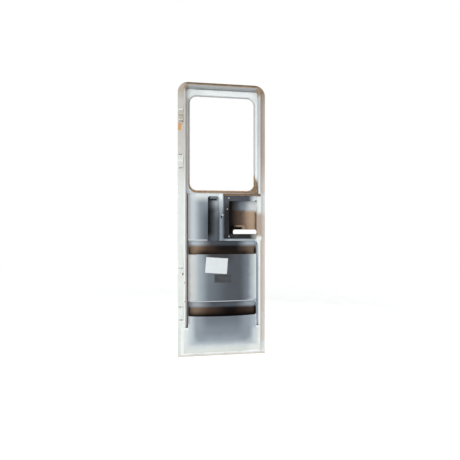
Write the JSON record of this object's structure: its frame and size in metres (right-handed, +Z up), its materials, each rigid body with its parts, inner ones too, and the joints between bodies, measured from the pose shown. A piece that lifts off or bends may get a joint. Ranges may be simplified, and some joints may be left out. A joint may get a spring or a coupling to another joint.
{
  "type": "caravan entry door",
  "caption": "Bare caravan entry door leaf seen from inside: flanged outer skin, raised rim, window opening, moulded lining with pad, channel, lock opening and storage pockets.",
  "frame": {"origin": "middle of the face of the lowest hinge plate, on the hinge-side flange", "axes": "+X from the hinge side to the lock side as seen from inside, +Y from inside to outside, +Z up"},
  "size_m": [0.5799, 0.075, 1.8],
  "materials": {
    "gelcoat_skin": "satin",
    "rim_plastic": "satin",
    "lining_plastic": "satin",
    "aged_sealant": "matt",
    "dark_plastic": "satin",
    "raw_laminate": "rough",
    "hinge_metal": "satin"
  },
  "bodies": {
    "root": {"outer_skin": "gelcoat_skin", "hinge_stile": "rim_plastic", "lock_stile": "rim_plastic", "head_rail": "rim_plastic", "bottom_rail": "rim_plastic", "window_surround": "lining_plastic", "window_seal": "aged_sealant", "lock_ledge": "aged_sealant", "corner_gusset": "aged_sealant", "back_panel": "lining_plastic", "left_pad": "lining_plastic", "umbrella_channel": "lining_plastic", "lock_surround": "lining_plastic", "lock_plate": "dark_plastic", "handle_dish": "raw_laminate", "upper_pocket_front": "lining_plastic", "upper_pocket_tray": "lining_plastic", "lower_pocket_front": "lining_plastic", "lower_pocket_tray": "lining_plastic", "apron": "lining_plastic", "hinge_plate_1": "hinge_metal", "hinge_plate_2": "hinge_metal", "hinge_plate_3": "hinge_metal", "hinge_plate_4": "hinge_metal"}
  },
  "joints": []
}
